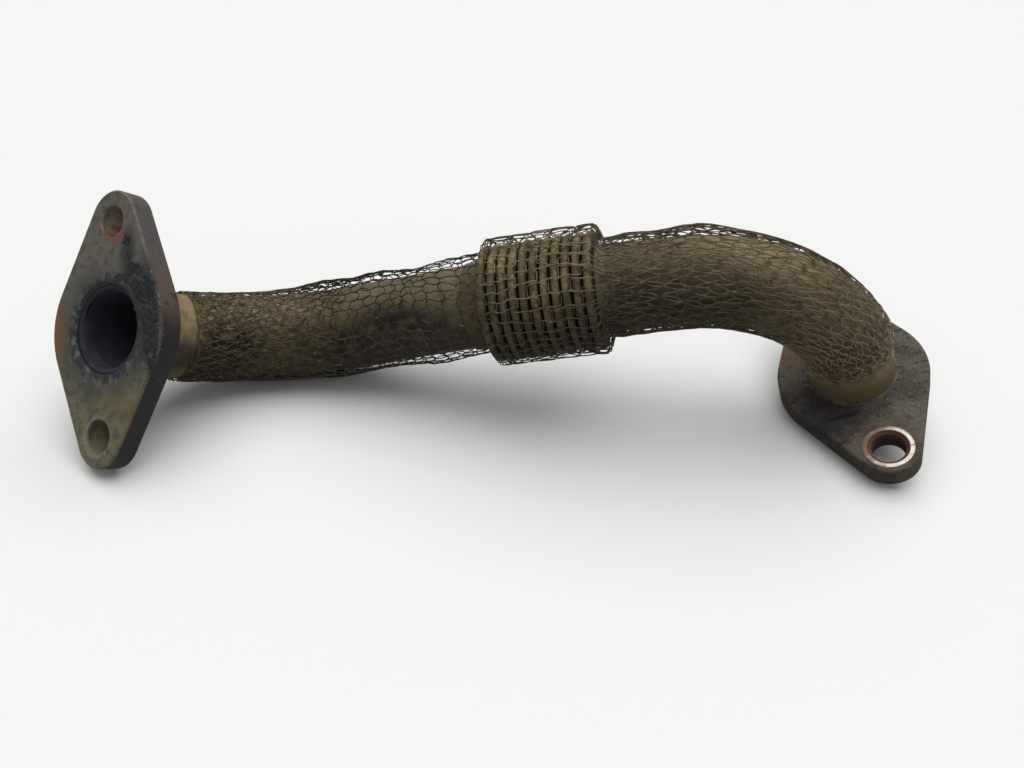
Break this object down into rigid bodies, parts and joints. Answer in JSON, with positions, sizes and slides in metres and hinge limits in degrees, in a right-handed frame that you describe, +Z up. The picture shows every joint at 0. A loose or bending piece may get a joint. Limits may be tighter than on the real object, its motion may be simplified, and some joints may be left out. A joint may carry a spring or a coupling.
{
  "type": "exhaust gas recirculation pipe",
  "caption": "Bent steel exhaust gas recirculation pipe with a bellows in its middle run, a two-bolt flange on each end and a knitted wire sleeve.",
  "frame": {"origin": "on the bench that the pipe lies on, under the middle of its bounding box", "axes": "+Z up from the bench, +X along the middle run from the inlet to the outlet"},
  "size_m": [0.2254, 0.0974, 0.0554],
  "materials": {
    "cast_flange": "rough dark oxide with rust and soot",
    "tube_steel": "heat-tinted straw to brown, satin",
    "bellows_steel": "heat-tinted olive brown, satin",
    "sleeve_wire": "dull oxidised knitted wire"
  },
  "bodies": {
    "root": {"inlet_flange": "cast_flange", "outlet_flange": "cast_flange", "inlet_tube": "tube_steel", "outlet_tube": "tube_steel", "bellows": "bellows_steel", "wire_sleeve": "sleeve_wire"}
  },
  "joints": []
}
